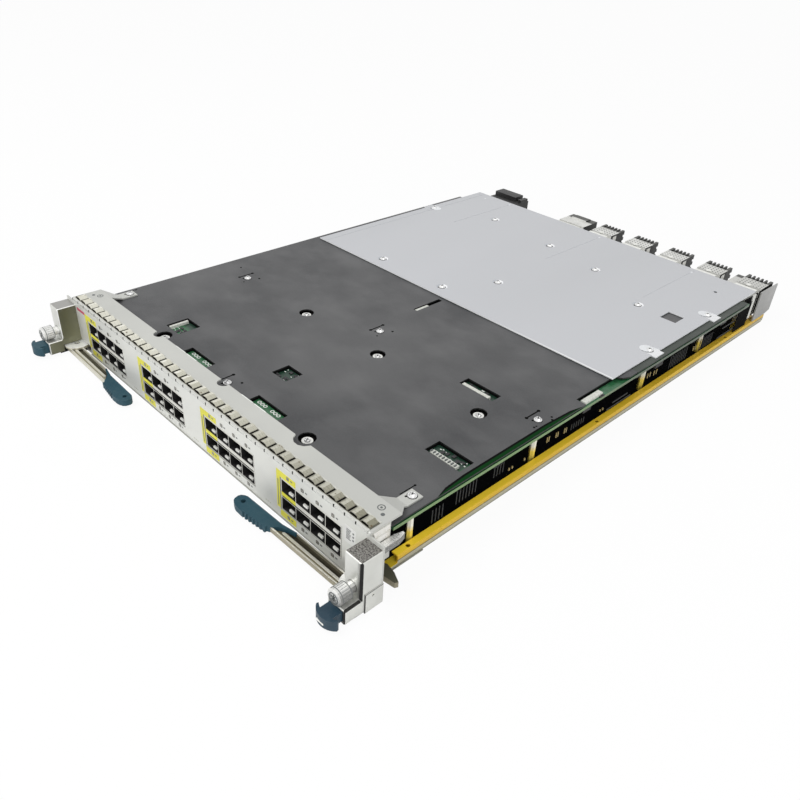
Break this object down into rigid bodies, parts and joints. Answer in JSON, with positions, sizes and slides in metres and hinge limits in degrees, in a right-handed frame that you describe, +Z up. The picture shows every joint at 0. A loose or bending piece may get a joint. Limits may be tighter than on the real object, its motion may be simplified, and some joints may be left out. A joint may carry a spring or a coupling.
{
  "type": "switch line card",
  "caption": "Slide-in line card for a modular network switch: port faceplate with ejector levers and captive screws, covered circuit board on a sheet tray, backplane connectors at the rear.",
  "frame": {"origin": "middle of the faceplate's front face in plan, on the surface that the tray's underside rests on", "axes": "+X along the faceplate to the right-hand ejector as seen from the front, +Y back to the backplane connectors, +Z up out of the board covers"},
  "size_m": [0.3914, 0.589, 0.0477],
  "materials": {
    "panel_metal": "fine satin plating",
    "gasket_metal": "bright spring metal",
    "side_gasket": "bright spring metal",
    "tray_plating": "yellow passivated plating",
    "skin_steel": "satin",
    "standoff_metal": "satin",
    "screw_zinc": "zinc plated",
    "board_green": "solder mask",
    "cover_black": "matt black",
    "shield_grey": "smooth satin grey",
    "cage_metal": "satin",
    "connector_black": "matt",
    "light_pipe": "clear, unlit",
    "label_yellow": "printed",
    "label_white": "printed",
    "label_red": "printed",
    "chip_black": "matt",
    "sink_black": "black anodised",
    "converter_dark": "matt",
    "capacitor_silver": "satin",
    "header_white": "matt",
    "fabric_grey": "matt",
    "side_plate_grey": "satin",
    "housing_steel": "fine grained",
    "pin_nickel": "polished",
    "pivot_black": "matt black",
    "spring_steel": "bright",
    "lever_steel": "satin",
    "handle_teal": "moulded"
  },
  "bodies": {
    "card": {"faceplate": "panel_metal", "top_gasket": "gasket_metal", "left_gasket": "side_gasket", "right_gasket": "side_gasket", "bottom_skin": "skin_steel", "base_tray": "tray_plating", "standoffs": "standoff_metal", "main_board": "board_green", "board_cover": "cover_black", "rear_shield": "shield_grey", "cover_screws": "screw_zinc", "port_cage_1": "cage_metal", "port_cage_2": "cage_metal", "port_cage_3": "cage_metal", "port_cage_4": "cage_metal", "port_sockets": "connector_black", "light_pipes": "light_pipe", "port_labels": "label_yellow", "serial_label": "label_white", "panel_stripe": "label_red", "switch_chips": "chip_black", "heat_sink_1": "sink_black", "heat_sink_2": "sink_black", "heat_sink_3": "sink_black", "heat_sink_4": "sink_black", "dc_converters": "converter_dark", "memory_chips": "chip_black", "capacitors": "capacitor_silver", "board_headers": "header_white", "fabric_connector_1": "fabric_grey", "fabric_connector_2": "fabric_grey", "fabric_connector_3": "fabric_grey", "fabric_connector_4": "fabric_grey", "fabric_connector_5": "fabric_grey", "fabric_connector_6": "fabric_grey", "power_connector": "connector_black", "connector_side_plate": "side_plate_grey", "left_housing": "housing_steel", "right_housing": "housing_steel", "guard_plates": "housing_steel", "left_guide_pin": "pin_nickel", "right_guide_pin": "pin_nickel", "pivot_plates": "pivot_black", "pivot_pins": "pin_nickel", "left_button_spring": "spring_steel", "right_button_spring": "spring_steel", "left_screw_spring": "spring_steel", "right_screw_spring": "spring_steel"},
    "left_lever": {"left_lever_arm": "lever_steel", "left_lever_grip": "handle_teal"},
    "left_button": {"left_release_button": "handle_teal"},
    "left_screw_carrier": {"left_screw_clip": "screw_zinc"},
    "left_screw": {"left_captive_screw": "pin_nickel"},
    "right_lever": {"right_lever_arm": "lever_steel", "right_lever_grip": "handle_teal"},
    "right_button": {"right_release_button": "handle_teal"},
    "right_screw_carrier": {"right_screw_clip": "screw_zinc"},
    "right_screw": {"right_captive_screw": "pin_nickel"}
  },
  "joints": [
    {"name": "right_lever_hinge", "type": "hinge", "parent": "card", "child": "right_lever", "pos_m": [0.1783, -0.005, 0.0043], "axis": [0, 0, 1], "range_deg": [0, 40]},
    {"name": "right_button_press", "type": "slide", "parent": "card", "child": "right_button", "axis": [0, 1, 0], "range_m": [0, 0.003], "stiffness_N_per_m": 400, "springref_m": -0.001, "deforming": ["right_button_spring"]},
    {"name": "right_screw_advance", "type": "slide", "parent": "card", "child": "right_screw_carrier", "axis": [0, 1, 0], "range_m": [0, 0.0046], "stiffness_N_per_m": 250, "springref_m": -0.002, "deforming": ["right_screw_spring"]},
    {"name": "right_screw_turn", "type": "hinge", "parent": "right_screw_carrier", "child": "right_screw", "pos_m": [0.1868, -0.02, 0.0184], "axis": [0, 1, 0], "continuous": true},
    {"name": "left_lever_hinge", "type": "hinge", "parent": "card", "child": "left_lever", "pos_m": [-0.1783, -0.005, 0.0043], "axis": [0, 0, -1], "range_deg": [0, 40]},
    {"name": "left_button_press", "type": "slide", "parent": "card", "child": "left_button", "axis": [0, 1, 0], "range_m": [0, 0.003], "stiffness_N_per_m": 400, "springref_m": -0.001, "deforming": ["left_button_spring"]},
    {"name": "left_screw_advance", "type": "slide", "parent": "card", "child": "left_screw_carrier", "axis": [0, 1, 0], "range_m": [0, 0.0046], "stiffness_N_per_m": 250, "springref_m": -0.002, "deforming": ["left_screw_spring"]},
    {"name": "left_screw_turn", "type": "hinge", "parent": "left_screw_carrier", "child": "left_screw", "pos_m": [-0.1868, -0.02, 0.0184], "axis": [0, 1, 0], "continuous": true}
  ]
}
